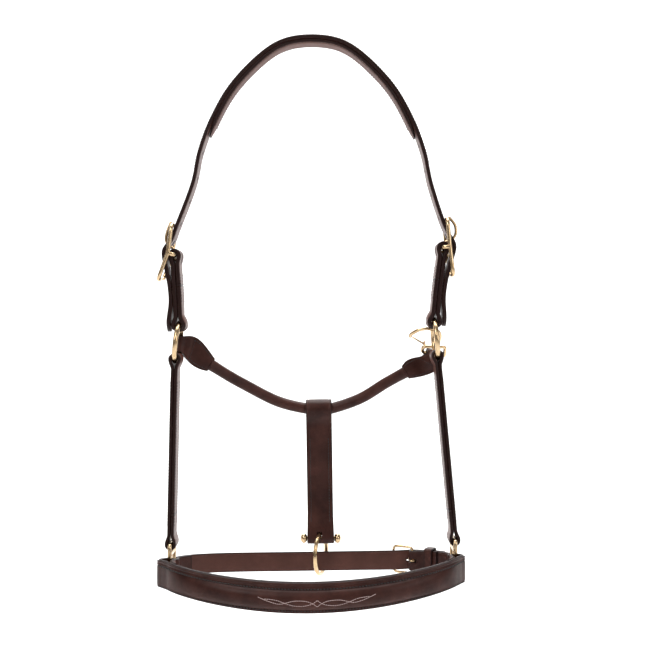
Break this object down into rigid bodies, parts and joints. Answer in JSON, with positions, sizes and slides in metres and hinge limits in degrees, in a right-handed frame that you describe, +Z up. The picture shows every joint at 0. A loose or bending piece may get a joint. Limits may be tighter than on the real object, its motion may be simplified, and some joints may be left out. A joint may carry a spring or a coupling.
{
  "type": "leather headcollar",
  "caption": "Buckled leather headcollar with padded crownpiece, raised noseband, rolled throat on a snap, and a tie ring below a centre strap.",
  "frame": {"origin": "the poll: underside of the crown lining, at the middle of the crownpiece", "axes": "+Z up the headcollar, -Y towards the noseband's front, +X towards the side with the snap and the chin buckle"},
  "size_m": [0.3004, 0.1728, 0.5541],
  "materials": {
    "havana_leather": "dark brown bridle leather, waxed, satin, blackened edges",
    "lining_leather": "softer brown lining leather, matt",
    "brass": "polished cast brass",
    "cord": "twisted cotton cord inside the rolled throat"
  },
  "bodies": {
    "straps": {"crown_strap": "havana_leather", "crown_lining": "lining_leather", "left_billet": "havana_leather", "right_billet": "havana_leather", "left_cheek_strap": "havana_leather", "right_cheek_strap": "havana_leather", "left_crown_buckle": "brass", "right_crown_buckle": "brass", "left_noseband_square": "brass", "right_noseband_square": "brass", "noseband_strap": "havana_leather", "noseband_padding": "lining_leather", "noseband_overlay": "havana_leather", "noseband_lining": "lining_leather", "chin_strap": "havana_leather", "chin_chape": "havana_leather", "chin_buckle": "brass"},
    "left_ring": {"left_cheek_ring": "brass"},
    "right_ring": {"right_cheek_ring": "brass"},
    "left_tongue": {"left_crown_tongue": "brass"},
    "right_tongue": {"right_crown_tongue": "brass"},
    "chin_pin": {"chin_tongue": "brass"},
    "keeper": {"chin_keeper": "havana_leather"},
    "throat": {"throat_roll": "havana_leather", "throat_core": "cord", "throat_left_tab": "havana_leather", "throat_right_tab": "havana_leather", "snap_body": "brass"},
    "gate": {"snap_gate": "brass"},
    "centre": {"centre_strap": "havana_leather", "tie_bolt": "brass", "bolt_left_ball": "brass", "bolt_right_ball": "brass"},
    "tie": {"tie_ring": "brass"}
  },
  "joints": [
    {"name": "left_ring_spin", "type": "hinge", "parent": "straps", "child": "left_ring", "pos_m": [-0.134, 0, -0.297], "axis": [0.9936, 0, -0.1132], "continuous": true},
    {"name": "right_ring_spin", "type": "hinge", "parent": "straps", "child": "right_ring", "pos_m": [0.123, 0, -0.2935], "axis": [0.9962, 0, 0.0872], "continuous": true},
    {"name": "left_tongue_lift", "type": "hinge", "parent": "straps", "child": "left_tongue", "pos_m": [-0.136, 0, -0.211], "axis": [0, -1, 0], "range_deg": [0, 8]},
    {"name": "right_tongue_lift", "type": "hinge", "parent": "straps", "child": "right_tongue", "pos_m": [0.13, 0, -0.2035], "axis": [0, 1, 0], "range_deg": [0, 8]},
    {"name": "chin_tongue_lift", "type": "hinge", "parent": "straps", "child": "chin_pin", "pos_m": [0.104, 0.04588, -0.52475], "axis": [0, 0, -1], "range_deg": [0, 8]},
    {"name": "keeper_slide", "type": "slide", "parent": "straps", "child": "keeper", "axis": [0.8889, -0.458, 0], "range_m": [-0.003, 0.003]},
    {"name": "throat_swing", "type": "hinge", "parent": "straps", "child": "throat", "pos_m": [-0.0055, 0, -0.29525], "axis": [-0.9999, 0, -0.0136], "range_deg": [0, 5]},
    {"name": "gate_open", "type": "hinge", "parent": "throat", "child": "gate", "pos_m": [0.1145, 0.02551, -0.29951], "axis": [0, 0.7071, 0.7071], "range_deg": [0, 32], "stiffness_Nm_per_rad": 0.02},
    {"name": "centre_swing", "type": "hinge", "parent": "throat", "child": "centre", "pos_m": [0.0065, 0.054, -0.368], "axis": [1, 0, 0], "range_deg": [0, 7.7]},
    {"name": "tie_ring_swing", "type": "hinge", "parent": "centre", "child": "tie", "pos_m": [0.0085, 0.06158, -0.50476], "axis": [1, 0, 0], "range_deg": [-4, 4]}
  ],
  "couplings": [
    {"joint": "centre_swing", "follows": "throat_swing", "ratio": 1.535}
  ]
}
